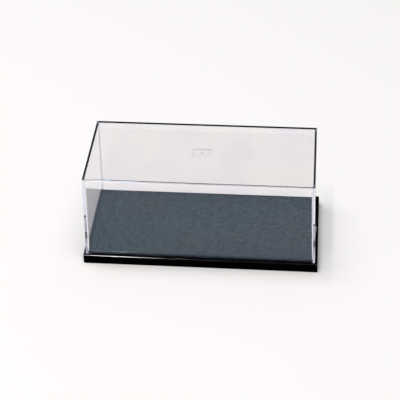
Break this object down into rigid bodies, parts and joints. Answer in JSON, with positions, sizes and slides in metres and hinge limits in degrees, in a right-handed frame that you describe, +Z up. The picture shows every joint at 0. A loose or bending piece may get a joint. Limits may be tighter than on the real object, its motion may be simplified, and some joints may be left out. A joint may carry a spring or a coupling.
{
  "type": "display case",
  "caption": "Clear box cover with slightly leaning walls that lifts off a low black base with a dark floor panel, to show a scale model and keep dust off it.",
  "frame": {"origin": "middle of the base's footprint, on the surface that the case stands on", "axes": "+X along the length to the right, -Y to the front, +Z up, the way the cover lifts"},
  "size_m": [0.15, 0.07, 0.065],
  "materials": {
    "black_polystyrene": "gloss",
    "grained_sheet": "matte",
    "clear_polystyrene": "gloss"
  },
  "bodies": {
    "base": {"base": "black_polystyrene", "floor_panel": "grained_sheet"},
    "cover": {"cover": "clear_polystyrene"}
  },
  "joints": [
    {"name": "cover_lift", "type": "slide", "parent": "base", "child": "cover", "axis": [0, 0, 1], "range_m": [0, 0.075]}
  ]
}
